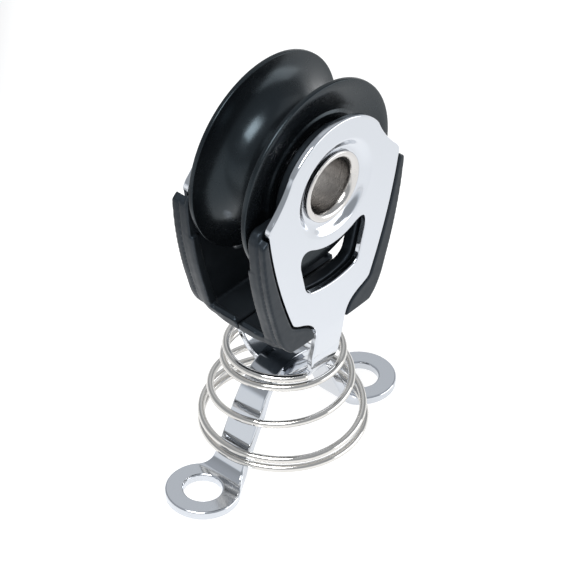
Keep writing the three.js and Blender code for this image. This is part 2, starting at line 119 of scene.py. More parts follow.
WIRE_RADIUS = 0.55
SPRING_TOP_RADIUS = 8.5
SPRING_BASE_RADIUS = 11.98
SPRING_TURNS = 4.6
SPRING_START = math.radians(-117)
SPRING_TOP = 18.5
SPRING_BASE = 3.6
CLOSE_TURNS_TOP = 1.1
CLOSE_TURNS_BASE = 1.6
CLOSE_PITCH = 1.65
SPRING_SPLIT_HEIGHT = 11.0
SPRING_SPLIT_LAP = 0.12
WIRE_END_STEP = 0.1
WIRE_END_SCALE = 0.78

CHEEK_INNER = 5.6
CHEEK_FLOOR = 7.2
CHEEK_OUTER = 8.6
CHEEK_HEAD_RADIUS = 9.3
CHEEK_HOLE_RADIUS = 8.3
CHEEK_LAP = 0.8
RIM_CORNER = ((11.3, 31), (10.3, 27.5), (8.3, 26))
WEB_CORNER = ((10.15, 27), (9.9, 26), (8.9, 26))
CORNER_START = 2.0
WING_TOP = 49.3
GUARD_INNER = 5.1
GUARD_TOP = 42.5
GUARD_WALL = 1.4
GUARD_BORE_RADIUS = 15.3
WEB_TOP = 28.0
WEB_HALF_GAP = 0.15
LEDGE_TOP = 28.4
LEDGE_HALF_GAP = 0.6
CREASE_PLACE = -7.4
CREASE_RADIUS = 0.2

CAMERA_AZIMUTH = math.radians(-49.11)
CAMERA_ELEVATION = math.radians(38.92)
CAMERA_ROLL = math.radians(1.43)
CAMERA_DISTANCE = 526.5
CAMERA_AIM_HEIGHT = 30
CAMERA_SIDE_SHIFT = -0.3535
CAMERA_RISE_SHIFT = -0.8404
LENS_LENGTH = 235.05718


# ---- plane curves ------------------------------------------------------------------------------

class Curve:
    """A plane curve drawn piece by piece from a starting point."""

    def __init__(self, x, y):
        self.points = [(x, y)]

    def line(self, x, y):
        self.points.append((x, y))
        return self

    def quad(self, cx, cy, x, y, steps=20):
        x0, y0 = self.points[-1]
        for k in range(1, steps + 1):
            t = k / steps
            a, b, c = (1 - t) ** 2, 2 * t * (1 - t), t * t
            self.points.append((a * x0 + b * cx + c * x, a * y0 + b * cy + c * y))
        return self

    def cubic(self, ax, ay, bx, by, x, y, steps=28):
        x0, y0 = self.points[-1]
        for k in range(1, steps + 1):
            t = k / steps
            w = ((1 - t) ** 3, 3 * t * (1 - t) ** 2, 3 * t * t * (1 - t), t ** 3)
            self.points.append((
                w[0] * x0 + w[1] * ax + w[2] * bx + w[3] * x,
                w[0] * y0 + w[1] * ay + w[2] * by + w[3] * y,
            ))
        return self

    def arc(self, cx, cy, radius, start, end, steps=40):
        for k in range(steps + 1):
            a = math.radians(start + (end - start) * k / steps)
            self.points.append((cx + radius * math.cos(a), cy + radius * math.sin(a)))
        return self


def mirrored(points):
    """The closed outline whose +X half is given from the top of the centre line to its foot."""
    right = np.array(points, float)
    left = right[::-1] * (-1, 1)
    return np.vstack([right, left])


def area_of(points):
    x, y = points[:, 0], points[:, 1]
    return 0.5 * float(np.sum(x * np.roll(y, -1) - y * np.roll(x, -1)))


def resampled(points, step):
    """A closed outline with even spacing, running counter-clockwise."""
    points = np.array(points, float)
    keep = np.linalg.norm(points - np.roll(points, 1, 0), axis=1) > 1e-6
    points = points[keep]
    if area_of(points) < 0:
        points = points[::-1]
    loop = np.vstack([points, points[:1]])
    length = np.concatenate([[0], np.cumsum(np.linalg.norm(np.diff(loop, axis=0), axis=1))])
    count = max(12, int(round(length[-1] / step)))
    at = np.linspace(0, length[-1], count, endpoint=False)
    return np.column_stack([np.interp(at, length, loop[:, k]) for k in (0, 1)])


def inward(points):
    """Unit normals to the left of a closed outline."""
    along = np.roll(points, -1, 0) - np.roll(points, 1, 0)
    along /= np.linalg.norm(along, axis=1)[:, None]
    return np.column_stack([-along[:, 1], along[:, 0]])


def is_inside(points, x, y):
    result = np.zeros(np.shape(x), bool)
    for (x0, y0), (x1, y1) in zip(points, np.roll(points, -1, 0)):
        if y0 == y1:
            continue
        crosses = ((y0 > y) != (y1 > y)) & (x < (x1 - x0) * (y - y0) / (y1 - y0) + x0)
        result ^= crosses
    return result


def outline_distance(points, x, y):
    """Distance from a closed outline, negative inside it."""
    best = np.full(np.shape(x), 1e9)
    for (x0, y0), (x1, y1) in zip(points, np.roll(points, -1, 0)):
        dx, dy = x1 - x0, y1 - y0
        t = np.clip(((x - x0) * dx + (y - y0) * dy) / (dx * dx + dy * dy + 1e-12), 0, 1)
        best = np.minimum(best, (x - x0 - t * dx) ** 2 + (y - y0 - t * dy) ** 2)
    best = np.sqrt(best)
    return np.where(is_inside(points, x, y), -best, best)


# ---- outlines ----------------------------------------------------------------------------------

def strap_outline(grow=0.0):
    """The strap's side plate and neck in the XZ plane, as in the CAD, down to the loop."""
    g = grow
    half = Curve(0, AXLE_HEIGHT + STRAP_HEAD_RADIUS + g)
    half.arc(0, AXLE_HEIGHT, STRAP_HEAD_RADIUS + g, 90, 36, 48)
    half.quad(10.2 + g, 53.9 + g, 12.9 + g, 51.2 + g)
    half.quad(13.9 + g, 50.2 + g, 13.5 + g, 49.2)
    half.quad(12.0 + g, 39.9, 8.15 + g, 30.8, 40)
    half.cubic(7.3 + g, 29.3 - g, 3.0 + g, 29.8 - g, NECK_HALF_WIDTH + g, 25.0)
    half.line(NECK_HALF_WIDTH + g, 20.6)
    half.quad(NECK_HALF_WIDTH + g, 19.4, LOOP_HALF_WIDTH + g, 18.4)
    return half


def window_outline(scale=1.0):
    """The window in the plate below the axle, scaled about its middle."""
    middle = 38.2
    top_radius = 9.5
    half = Curve(0, AXLE_HEIGHT - top_radius)
    half.arc(0, AXLE_HEIGHT, top_radius, -90, -62, 20)
    half.quad(7.0, 43.3, 6.75, 40.3)
    half.line(5.75, 36.3)
    half.quad(5.4, 34.9, 4.2, 34.6)
    half.quad(2.0, 34.05, 0, 34.05)
    points = mirrored(half.points)
    return (points - (0, middle)) * scale + (0, middle)


def cheek_outline(corner):
    """The moulded cheek seen along the axle, without its head, with the given lower corners."""
    start, control, end = corner
    rim_top = 49.8
    half = Curve(0, rim_top)
    half.line(13.4, rim_top)
    half.quad(14.75, 49.6, 14.75, 47.8)
    half.quad(14.2, 39.8, 11.6, 32, 30)
    half.line(*start)
    half.quad(*control, *end)
    half.line(3.4, 25.8)
    half.line(0, 25.8)
    return mirrored(half.points)


# ---- meshes ------------------------------------------------------------------------------------

def new_piece(name, vertices, faces, material, body, slot, nodes):
    """One closed piece in frame coordinates, from millimetre vertices, riding on its body if given."""
    mesh = bpy.data.meshes.new(name)
    corners = [list(map(int, face)) for face in faces]
    mesh.from_pydata((np.asarray(vertices, float) * MM).tolist(), [], corners)
    bm = bmesh.new()
    bm.from_mesh(mesh)
    bmesh.ops.recalc_face_normals(bm, faces=bm.faces)
    bm.to_mesh(mesh)
    bm.free()
    mesh.polygons.foreach_set("use_smooth", [True] * len(mesh.polygons))
    mesh.materials.append(material)
    obj = bpy.data.objects.new(name, mesh)
    bpy.context.scene.collection.objects.link(obj)
    if body:
        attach(obj, body)
    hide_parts(*nodes)
    return obj


def bent_normals(warp, place, facing):
    """Surface normals of a bent plate, from its flattened places and facings, by small differences."""
    step = 0.02
    along = []
    for axis in range(3):
        shift = np.zeros((3, 1))
        shift[axis] = step
        ahead = np.column_stack(warp(*(place + shift)))
        behind = np.column_stack(warp(*(place - shift)))
        along.append((ahead - behind) / (2 * step))
    du, ds, dt = along
    normal = (np.cross(ds, dt) * facing[0][:, None] + np.cross(dt, du) * facing[1][:, None]
              + np.cross(du, ds) * facing[2][:, None])
    turn = np.sign((np.cross(du, ds) * dt).sum(axis=1))[:, None]
    return turn * normal / np.linalg.norm(normal, axis=1)[:, None]


class StripPath:
    """The middle line of a bent strip by length along it, mirrored about length zero."""

    def __init__(self, points, first_normal):
        spacing = 0.02
        reach = 4
        points = np.array(points, float)
        length = np.concatenate([[0], np.cumsum(np.linalg.norm(np.diff(points, axis=0), axis=1))])
        self.length = np.arange(0, length[-1], spacing)
        self.place = np.column_stack([np.interp(self.length, length, points[:, k]) for k in (0, 1)])
        along = np.gradient(self.place, axis=0)
        kernel = np.ones(2 * reach + 1) / (2 * reach + 1)
        padded = np.pad(along, ((reach, reach), (0, 0)), mode="edge")
        along = np.column_stack([np.convolve(padded[:, k], kernel, "valid") for k in (0, 1)])
        along /= np.linalg.norm(along, axis=1)[:, None]
        normal = np.column_stack([-along[:, 1], along[:, 0]])
        if normal[0] @ np.array(first_normal, float) < 0:
            normal = -normal
        self.normal = normal

    def at(self, s, t):
        """Side-plane coordinates of the point at length s and height t above the middle."""
        a = np.abs(s)
        side = np.where(s < 0, -1.0, 1.0)
        place = [np.interp(a, self.length, self.place[:, k]) for k in (0, 1)]
        normal = [np.interp(a, self.length, self.normal[:, k]) for k in (0, 1)]
        size = np.hypot(*normal)
        return side * (place[0] + normal[0] / size * t), place[1] + normal[1] / size * t


def strip_solid(outer, holes, inner_points, half_thickness, edge_radius, warp):
    """A plate in its flattened plane (u, s), with rounded edges, bent to shape by warp(u, s, t)."""
    outline_step = 0.3
    round_steps = 4
    clearance = 0.16
    loops = [resampled(outer, outline_step)]
    loops += [resampled(hole, outline_step)[::-1] for hole in holes]
    corner = [math.pi / 2 * k / round_steps for k in range(round_steps + 1)]
    inset = [edge_radius * (1 - math.cos(a)) for a in corner]
    height = [half_thickness - edge_radius * (1 - math.sin(a)) for a in corner]

    rims = [loop + inward(loop) * inset[-1] for loop in loops]
    coords, edges = [], []
    for rim in rims:
        base = len(coords)
        coords += rim.tolist()
        edges += [(base + k, base + (k + 1) % len(rim)) for k in range(len(rim))]
    rim_total = len(coords)
    inner = np.array(inner_points, float)
    clear = outline_distance(rims[0], inner[:, 0], inner[:, 1]) < -clearance
    for rim in rims[1:]:
        clear &= outline_distance(rim[::-1], inner[:, 0], inner[:, 1]) > clearance
    coords += inner[clear].tolist()
    out = delaunay_2d_cdt([Vector(c) for c in coords], edges, [], 0, 1e-6, True)
    flat = np.array([tuple(v) for v in out[0]], float)
    triangles = np.array(out[2], int)
    centre = flat[triangles].mean(axis=1)
    solid = is_inside(rims[0], centre[:, 0], centre[:, 1])
    for rim in rims[1:]:
        solid &= ~is_inside(rim, centre[:, 0], centre[:, 1])
    triangles = triangles[solid]
    rim_index = np.full(rim_total, -1)
    for new, olds in enumerate(out[3]):
        for old in olds:
            if old < rim_total:
                rim_index[old] = new

    flat_count = len(flat)
    u = [flat[:, 0], flat[:, 0]]
    s = [flat[:, 1], flat[:, 1]]
    t = [np.full(flat_count, half_thickness), np.full(flat_count, -half_thickness)]
    facing = [np.tile([[0], [0], [side]], flat_count) for side in (1.0, -1.0)]
    faces = [tuple(f) for f in triangles] + [tuple(f[::-1] + flat_count) for f in triangles]
    total = 2 * flat_count
    start = 0
    for loop in loops:
        normal = inward(loop)
        count = len(loop)
        top = rim_index[start:start + count]
        start += count
        rows = [top]
        for sign in (1, -1):
            levels = range(round_steps - 1, -1, -1) if sign > 0 else range(round_steps)
            for k in levels:
                ring = loop + normal * inset[k]
                u.append(ring[:, 0])
                s.append(ring[:, 1])
                t.append(np.full(count, sign * height[k]))
                rise = np.full(count, sign * math.sin(corner[k]))
                facing.append(np.vstack([-normal.T * math.cos(corner[k]), rise]))
                rows.append(np.arange(total, total + count))
                total += count
        rows.append(top + flat_count)
        for upper, lower in zip(rows[:-1], rows[1:]):
            for k in range(count):
                n = (k + 1) % count
                faces.append((upper[k], lower[k], lower[n], upper[n]))
    place = np.vstack([np.concatenate(u), np.concatenate(s), np.concatenate(t)])
    return np.column_stack(warp(*place)), faces, bent_normals(warp, place, np.hstack(facing))


def turned(profile, segments=160):
    """A ring turned about the axle from a closed profile of (radius, y) points."""
    profile = np.array(profile, float)
    angle = 2 * np.pi * np.arange(segments) / segments
    radius, y = profile[:, 0], profile[:, 1]
    x = np.outer(np.cos(angle), radius)
    z = AXLE_HEIGHT + np.outer(np.sin(angle), radius)
    vertices = np.stack([x, np.broadcast_to(y, x.shape), z], axis=-1).reshape(-1, 3)
    count = len(profile)
    faces = []
    for a in range(segments):
        b = (a + 1) % segments
        for k in range(count):
            n = (k + 1) % count
            faces.append((a * count + k, a * count + n, b * count + n, b * count + k))
    return vertices, faces


def rounded_profile(corners, steps=5):
    """A closed profile with each (radius, y, rounding) corner rounded off by an arc-like curve."""
    result = []
    count = len(corners)
    for k in range(count):
        here = np.array(corners[k][:2], float)
        before = np.array(corners[k - 1][:2], float)
        after = np.array(corners[(k + 1) % count][:2], float)
        rounding = corners[k][2]
        if rounding <= 0:
            result.append(tuple(here))
            continue
        a = here + (before - here) / np.linalg.norm(before - here) * rounding
        b = here + (after - here) / np.linalg.norm(after - here) * rounding
        for j in range(steps + 1):
            t = j / steps
            result.append(tuple((1 - t) ** 2 * a + 2 * t * (1 - t) * here + t * t * b))
    return result


def skin(field, origin, step):
    """The closed surface where a grid of signed distances is zero, one vertex in each mixed cell."""
    inside = field < 0
    size = np.array(field.shape) - 1
    total = np.zeros(tuple(size) + (3,))
    crossings = np.zeros(tuple(size))
    for axis in range(3):
        low = np.take(field, range(0, field.shape[axis] - 1), axis)
        high = np.take(field, range(1, field.shape[axis]), axis)
        changed = (low < 0) != (high < 0)
        share = np.where(changed, low / np.where(changed, low - high, 1), 0)
        others = [k for k in range(3) if k != axis]
        for p in (0, 1):
            for q in (0, 1):
                cut = [slice(None)] * 3
                cut[others[0]] = slice(p, p + size[others[0]])
                cut[others[1]] = slice(q, q + size[others[1]])
                here = changed[tuple(cut)]
                crossings += here
                total[..., axis] += np.where(here, share[tuple(cut)], 0)
                total[..., others[0]] += here * p
                total[..., others[1]] += here * q
    mixed = crossings > 0
    index = np.full(tuple(size), -1)
    index[mixed] = np.arange(int(mixed.sum()))
    cells = np.argwhere(mixed)
    vertices = origin + (cells + total[mixed] / crossings[mixed][:, None]) * step
    faces = []
    for axis in range(3):
        p, q = [k for k in range(3) if k != axis]
        cut = [slice(1, -1)] * 3
        cut[axis] = slice(None)
        low, high = [slice(None)] * 3, [slice(None)] * 3
        low[axis], high[axis] = slice(0, -1), slice(1, None)
        changed = inside[tuple(low)] != inside[tuple(high)]
        changed_inner = np.zeros_like(changed)
        inner = [slice(1, -1)] * 3
        inner[axis] = slice(None)
        changed_inner[tuple(inner)] = changed[tuple(inner)]
        at = np.argwhere(changed_inner)
        offsets = []
        for dp, dq in ((0, 0), (1, 0), (1, 1), (0, 1)):
            offset = at.copy()
            offset[:, p] -= dp
            offset[:, q] -= dq
            offsets.append(index[offset[:, 0], offset[:, 1], offset[:, 2]])
        faces.append(np.column_stack(offsets))
    return vertices, np.vstack(faces)


# ---- materials ---------------------------------------------------------------------------------

class Material:
    """A Principled material, with small helpers for its procedural texture."""

    def __init__(self, name, colour, roughness, metallic=0.0, specular=0.5):
        self.material = bpy.data.materials.new(name)
        self.material.use_nodes = True
        self.tree = self.material.node_tree
        self.shader = self.tree.nodes["Principled BSDF"]
        self.shader.inputs["Base Color"].default_value = (*colour, 1)
        self.shader.inputs["Roughness"].default_value = roughness
        self.shader.inputs["Metallic"].default_value = metallic
        self.shader.inputs["Specular IOR Level"].default_value = specular
        self.height = None

    def node(self, kind, **settings):
        node = self.tree.nodes.new(kind)
        for key, value in settings.items():
            setattr(node, key, value)
        return node

    def link(self, source, target):
        self.tree.links.new(source, target)

    def noise(self, scale, stretch=(1, 1, 1), detail=3.0, rough=0.55):
        """Noise in frame coordinates, scale features per metre, stretched along the axes."""
        coords = self.node("ShaderNodeTexCoord")
        mapping = self.node("ShaderNodeMapping")
        mapping.inputs["Scale"].default_value = stretch
        texture = self.node("ShaderNodeTexNoise")
        texture.inputs["Scale"].default_value = scale
        texture.inputs["Detail"].default_value = detail
        texture.inputs["Roughness"].default_value = rough
        self.link(coords.outputs["Object"], mapping.inputs["Vector"])
        self.link(mapping.outputs["Vector"], texture.inputs["Vector"])
        return texture.outputs["Fac"]

    def spread(self, value, low, high, from_low=0.3, from_high=0.7):
        mapped = self.node("ShaderNodeMapRange")
        mapped.inputs["From Min"].default_value = from_low
        mapped.inputs["From Max"].default_value = from_high
        mapped.inputs["To Min"].default_value = low
        mapped.inputs["To Max"].default_value = high
        self.link(value, mapped.inputs["Value"])
        return mapped.outputs["Result"]

    def roughness(self, value, low, high):
        self.link(self.spread(value, low, high), self.shader.inputs["Roughness"])

    def colour(self, value, first, second):
        mix = self.node("ShaderNodeMix", data_type="RGBA")
        mix.inputs["A"].default_value = (*first, 1)
        mix.inputs["B"].default_value = (*second, 1)
        self.link(self.spread(value, 0, 1), mix.inputs["Factor"])
        self.link(mix.outputs["Result"], self.shader.inputs["Base Color"])

    def bump(self, value, strength, distance):
        bump = self.node("ShaderNodeBump")
        bump.inputs["Strength"].default_value = strength
        bump.inputs["Distance"].default_value = distance
        self.link(value, bump.inputs["Height"])
        if self.height is not None:
            self.link(self.height, bump.inputs["Normal"])
        self.height = bump.outputs["Normal"]
        self.link(self.height, self.shader.inputs["Normal"])


def polished_steel():
    m = Material("polished_steel", (0.60, 0.625, 0.665), 0.12, metallic=1.0)
    m.roughness(m.noise(260), 0.08, 0.13)
    m.bump(m.noise(1500, (1, 1, 0.12), 2), 0.05, 0.00002)
    return m.material


def spring_wire():
    m = Material("spring_wire", (0.66, 0.645, 0.62), 0.14, metallic=1.0)
    m.roughness(m.noise(500), 0.08, 0.18)
    m.bump(m.noise(3500, (1, 1, 3), 2), 0.05, 0.00002)
    return m.material


def tube_steel():
    m = Material("tube_steel", (0.60, 0.585, 0.57), 0.22, metallic=1.0)
    m.roughness(m.noise(900, (0.35, 3, 0.35), 3), 0.12, 0.30)
    m.bump(m.noise(2200, (0.3, 4, 0.3), 3), 0.12, 0.00003)
    return m.material


def race_steel():
    m = Material("race_steel", (0.58, 0.58, 0.59), 0.25, metallic=1.0)
    m.roughness(m.noise(900, (0.4, 3, 0.4)), 0.18, 0.32)
    m.bump(m.noise(2600, (0.3, 4, 0.3), 2), 0.08, 0.00002)
    return m.material


def black_moulding():
    m = Material("black_moulding", (0.006, 0.008, 0.010), 0.4, specular=0.35)
    m.shader.inputs["Specular Tint"].default_value = (0.66, 0.82, 1.0, 1)
    grain = m.noise(2600, detail=4)
    m.colour(m.noise(220), (0.0055, 0.0070, 0.0085), (0.0075, 0.0092, 0.0110))
    m.roughness(m.noise(700), 0.36, 0.48)
    m.bump(grain, 0.12, 0.00004)
    return m.material


def sheave_acetal():
    m = Material("sheave_acetal", (0.004, 0.005, 0.006), 0.25, specular=0.38)
    m.shader.inputs["Specular Tint"].default_value = (0.70, 0.88, 1.0, 1)
    m.colour(m.noise(160), (0.0035, 0.0045, 0.0055), (0.005, 0.006, 0.007))
    m.roughness(m.noise(450), 0.20, 0.30)
    m.bump(m.noise(1800, detail=3), 0.05, 0.00003)
    return m.material


def ball_acetal():
    m = Material("ball_acetal", (0.80, 0.79, 0.76), 0.3)
    m.colour(m.noise(700), (0.78, 0.77, 0.73), (0.83, 0.82, 0.79))
    m.roughness(m.noise(1500), 0.25, 0.36)
    return m.material


STEEL = polished_steel()
WIRE = spring_wire()
TUBE = tube_steel()
RACE = race_steel()
MOULDING = black_moulding()
ACETAL = sheave_acetal()
BALL = ball_acetal()


# ---- camera ------------------------------------------------------------------------------------

def make_camera():
    back = Vector((
        math.sin(CAMERA_AZIMUTH) * math.cos(CAMERA_ELEVATION),
        -math.cos(CAMERA_AZIMUTH) * math.cos(CAMERA_ELEVATION),
        math.sin(CAMERA_ELEVATION),
    ))
    right = Vector((math.cos(CAMERA_AZIMUTH), math.sin(CAMERA_AZIMUTH), 0))
    up = back.cross(right)
    turned_right = math.cos(CAMERA_ROLL) * right + math.sin(CAMERA_ROLL) * up
    turned_up = -math.sin(CAMERA_ROLL) * right + math.cos(CAMERA_ROLL) * up
    aim = Vector((0, 0, CAMERA_AIM_HEIGHT))
    aim += CAMERA_SIDE_SHIFT * turned_right + CAMERA_RISE_SHIFT * turned_up
    place = aim + CAMERA_DISTANCE * back
    data = bpy.data.cameras.new("camera")
    data.sensor_width = 36
    data.lens = LENS_LENGTH
    data.clip_start = 0.01
    data.clip_end = 20
    camera = bpy.data.objects.new("camera", data)
    bpy.context.scene.collection.objects.link(camera)
    axes = Matrix((turned_right, turned_up, back)).transposed()
    camera.matrix_world = Matrix.Translation(place * MM) @ axes.to_4x4()
    bpy.context.scene.camera = camera


make_camera()


# ---- strap -------------------------------------------------------------------------------------

def unit_circle(count):
    angle = np.linspace(0, 2 * np.pi, count, endpoint=False)
    return np.column_stack([np.cos(angle), np.sin(angle)])


def new_plate(name, solid, body, node):
    """A polished steel plate piece from strip_solid's vertices, faces and exact normals."""
    vertices, faces, normals = solid
    obj = new_piece(name, vertices, faces, STEEL, body, "polished_steel", [node])
    obj.data.normals_split_custom_set_from_vertices(normals.tolist())


class StrapLeg:
    """One leg of the strap from the bottom of its loop to above the head, set in by some width."""

    def __init__(self, set_in):
        middle = STRAP_OUTER - STRAP_THICKNESS / 2 - set_in
        above_head = AXLE_HEIGHT + STRAP_HEAD_RADIUS + 4.5
        half = Curve(0, LOOP_CENTRE_HEIGHT - LOOP_RADIUS)
        half.arc(0, LOOP_CENTRE_HEIGHT, LOOP_RADIUS, 270, 180, 180)
        half.quad(-middle, STRAP_LEAN_TOP - 2, -middle, STRAP_LEAN_TOP, 60)
        half.line(-middle, above_head)
        self.path = StripPath(half.points, (0, -1))
        self.heights, order = np.unique(self.path.place[:, 1], return_index=True)
        self.lengths = self.path.length[order]
        self.axle = float(self.length_at(AXLE_HEIGHT))

    def length_at(self, z):
        return np.interp(z, self.heights, self.lengths)

    def at(self, u, s, t):
        """Y and Z of a point of the flattened leg, with the round dish pressed in."""
        radius = np.hypot(u, s - self.axle)
        share = np.clip((DISH_RIM_RADIUS - radius) / (DISH_RIM_RADIUS - DISH_FLOOR_RADIUS), 0, 1)
        pressed = DISH_DEPTH * (1 - np.cos(np.pi * share)) / 2
        return self.path.at(s, t - pressed)


def strap_inner_points(side, leg, circle):
    """Mesh points of a flattened leg: close rows on its bend, rings on its dish, wide rows elsewhere."""
    bend_top = float(leg.length_at(STRAP_LEAN_TOP)) + 0.6
    bend_step = 0.36
    dish_step = 0.17
    flat_step = 1.5
    points = []
    for s in np.arange(bend_step / 2, bend_top, bend_step):
        points += [(u, side * s) for u in np.arange(-4.8, 4.9, 0.6)]
    for radius in np.arange(STRAP_HOLE_RADIUS + 0.3, DISH_RIM_RADIUS + 0.5, dish_step):
        points += (circle * radius + (0, side * leg.axle)).tolist()
    for s in np.arange(bend_top + 1, leg.axle + STRAP_HEAD_RADIUS, flat_step):
        for u in np.arange(-13, 13.1, flat_step):
            if math.hypot(u, s - leg.axle) > DISH_RIM_RADIUS + 1:
                points.append((u, side * s))
    return points


def make_strap():
    legs = {1: StrapLeg(0.0), -1: StrapLeg(FAR_SET_IN)}
    half = np.array(strap_outline().points)
    window = window_outline()
    circle = unit_circle(120)
    near = np.column_stack([half[:, 0], legs[1].length_at(half[:, 1])])
    far = np.column_stack([half[:, 0], -legs[-1].length_at(half[:, 1])])
    right = np.vstack([near, far[::-1]])
    outer = np.vstack([right, right[::-1] * (-1, 1)])
    holes = []
    inner = []
    for side, leg in legs.items():
        holes.append(np.column_stack([window[:, 0], side * leg.length_at(window[:, 1])]))
        holes.append(circle * STRAP_HOLE_RADIUS + (0, side * leg.axle))
        inner += strap_inner_points(side, leg, circle)

    def warp(u, s, t):
        near_y, near_z = legs[1].at(u, np.abs(s), t)
        far_y, far_z = legs[-1].at(u, np.abs(s), t)
        return u, np.where(s < 0, -far_y, near_y), np.where(s < 0, far_z, near_z)

    sheet = strip_solid(outer, holes, inner, STRAP_THICKNESS / 2, STRAP_EDGE_RADIUS, warp)
    new_plate("side_strap_sheet", sheet, "block_head", "side_strap")


make_strap()


# ---- saddle ------------------------------------------------------------------------------------

def saddle_path():
    """The saddle's arch, straight leg, bend and foot, at half its thickness."""
    foot_z = SADDLE_THICKNESS / 2
    half = Curve(0, ARCH_CENTRE_HEIGHT + ARCH_RADIUS)
    angle = math.degrees(ARCH_HALF_ANGLE)
    half.arc(0, ARCH_CENTRE_HEIGHT, ARCH_RADIUS, 90, 90 - angle, 120)
    leg_x, leg_z = half.points[-1]
    bend_z = foot_z + FOOT_BEND_RADIUS
    start_z = bend_z - FOOT_BEND_RADIUS * math.cos(ARCH_HALF_ANGLE)
    bend_x = leg_x + (leg_z - start_z) / math.tan(ARCH_HALF_ANGLE)
    bend_x += FOOT_BEND_RADIUS * math.sin(ARCH_HALF_ANGLE)
    half.arc(bend_x, bend_z, FOOT_BEND_RADIUS, 270 - angle, 270, 80)
    half.line(FOOT_X + FOOT_RADIUS + 1, foot_z)
    return StripPath(half.points, (0, 1))


def make_saddle():
    path = saddle_path()

    def length_at(x):
        return np.interp(x, path.place[:, 0], path.length)

    foot = float(length_at(FOOT_X))
    plan = Curve(0, 2.4)
    plan.line(4, 2.4)
    plan.quad(6, 2.4, 7.5, 2.7)
    plan.line(10.4, 2.7)
    plan.quad(11.9, 2.9, FOOT_X - 3.7, 4.07)
    plan.arc(FOOT_X, 0, FOOT_RADIUS, 132, 0, 60)
    plan = np.array(plan.points)
    pieces = 8
    dense = [plan[0]]
    for a, b in zip(plan[:-1], plan[1:]):
        dense += [a + (b - a) * k / pieces for k in range(1, pieces + 1)]
    dense = np.array(dense)
    quarter = np.column_stack([length_at(dense[:, 0]), dense[:, 1]])
    right = np.vstack([quarter, quarter[::-1] * (1, -1)])
    outer = np.vstack([right, right[::-1] * (-1, 1)])[:, ::-1]
    holes = [unit_circle(72) * SCREW_HOLE_RADIUS + (0, side * foot) for side in (-1, 1)]
    bend_end = float(length_at(FOOT_X - 3.0))
    bend_step = 0.3
    inner = []
    for s in np.arange(-bend_end, bend_end + 0.01, bend_step):
        inner += [(u, s) for u in np.arange(-5.4, 5.5, 0.6)]

    def warp(u, s, t):
        x, z = path.at(s, t)
        return x, u, z

    strip = strip_solid(outer, holes, inner, SADDLE_THICKNESS / 2, SADDLE_EDGE_RADIUS, warp)
    new_plate("deck_saddle_strip", strip, "saddle", "deck_saddle")


make_saddle()


# ---- spring ------------------------------------------------------------------------------------

def spring_point(turn):
    """The wire's centre after some turns from the top: close turns, open turns, then close turns."""
    close_turns = CLOSE_TURNS_TOP + CLOSE_TURNS_BASE
    open_turns = SPRING_TURNS - close_turns
    open_pitch = (SPRING_TOP - SPRING_BASE - CLOSE_PITCH * close_turns) / open_turns
    opened = min(max(turn - CLOSE_TURNS_TOP, 0), open_turns)
    z = SPRING_TOP - CLOSE_PITCH * (turn - opened) - open_pitch * opened
    radius = SPRING_TOP_RADIUS + (SPRING_BASE_RADIUS - SPRING_TOP_RADIUS) * opened / open_turns
    angle = SPRING_START - 2 * math.pi * turn
    return np.array([radius * math.cos(angle), radius * math.sin(angle), z])


def wire_mesh(turns, sides=14):
    """A round wire through the spring's points, with its two ends closed."""
    points = np.array([spring_point(t) for t in turns])
    along = np.gradient(points, axis=0)
    along /= np.linalg.norm(along, axis=1)[:, None]
    up = np.array([0.0, 0, 1])
    across = np.cross(along, up)
    across /= np.linalg.norm(across, axis=1)[:, None]
    raised = np.cross(across, along)
    final = len(points) - 1
    rings = [(0, WIRE_END_SCALE, -WIRE_END_STEP)]
    rings += [(k, 1.0, 0.0) for k in range(len(points))]
    rings.append((final, WIRE_END_SCALE, WIRE_END_STEP))
    vertices = []
    for k, scale, shift in rings:
        for j in range(sides):
            a = 2 * math.pi * j / sides
            offset = across[k] * math.cos(a) + raised[k] * math.sin(a)
            vertices.append(points[k] + along[k] * shift + offset * WIRE_RADIUS * scale)
    faces = []
    for r in range(len(rings) - 1):
        for j in range(sides):
            n = (j + 1) % sides
            faces.append((r * sides + j, r * sides + n, (r + 1) * sides + n, (r + 1) * sides + j))
    last = (len(rings) - 1) * sides
    faces.append(tuple(range(sides)))
    faces.append(tuple(last + j for j in range(sides)))
    return vertices, faces


def make_spring():
    steps_per_turn = 72
    turns = np.linspace(0, SPRING_TURNS, int(SPRING_TURNS * steps_per_turn) + 1)
    heights = np.array([spring_point(t)[2] for t in turns])
    upper = turns[heights >= SPRING_SPLIT_HEIGHT]
    lower = turns[heights <= SPRING_SPLIT_HEIGHT + SPRING_SPLIT_LAP]
    top = new_piece("spring_upper", *wire_mesh(upper), WIRE, None, "spring_wire", ["standup_spring"])
    base = new_piece("spring_lower", *wire_mesh(lower), WIRE, None, "spring_wire", ["standup_spring"])
    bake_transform(top)
    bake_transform(base)


make_spring()


# ---- sheave and bearing ------------------------------------------------------------------------

def track(radius, depth_radius, rounding):
    """The corners of both ball tracks in a bore or on a ring, from -Y to +Y."""
    corners = []
    for row in TRACK_ROWS:
        corners += [
            (radius, row - TRACK_HALF_MOUTH, rounding),
            (depth_radius, row - TRACK_HALF_FLOOR, rounding),
            (depth_radius, row + TRACK_HALF_FLOOR, rounding),
            (radius, row + TRACK_HALF_MOUTH, rounding),
        ]
    return corners


